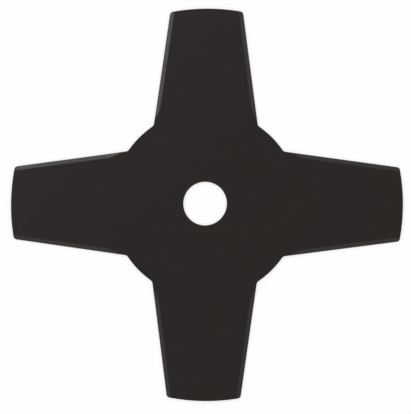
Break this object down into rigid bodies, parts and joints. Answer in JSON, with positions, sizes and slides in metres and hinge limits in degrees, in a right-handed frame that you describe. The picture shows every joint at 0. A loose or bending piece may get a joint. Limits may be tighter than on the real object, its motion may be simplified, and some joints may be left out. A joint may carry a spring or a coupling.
{
  "type": "trimmer blade",
  "caption": "Flat steel grass blade for a brush trimmer: tapered arms round a hub disc with an arbor bore, both long edges of each arm ground sharp.",
  "frame": {"origin": "on the axis of the arbor bore, at the plate's lower face", "axes": "+Z along the arbor bore's axis, out of the upper face; one arm points along +X, and the next one along +Y"},
  "size_m": [0.2286, 0.2286, 0.0016],
  "materials": {
    "black_coated_steel": "satin"
  },
  "bodies": {
    "root": {"trimmer_blade": "black_coated_steel"}
  },
  "joints": []
}
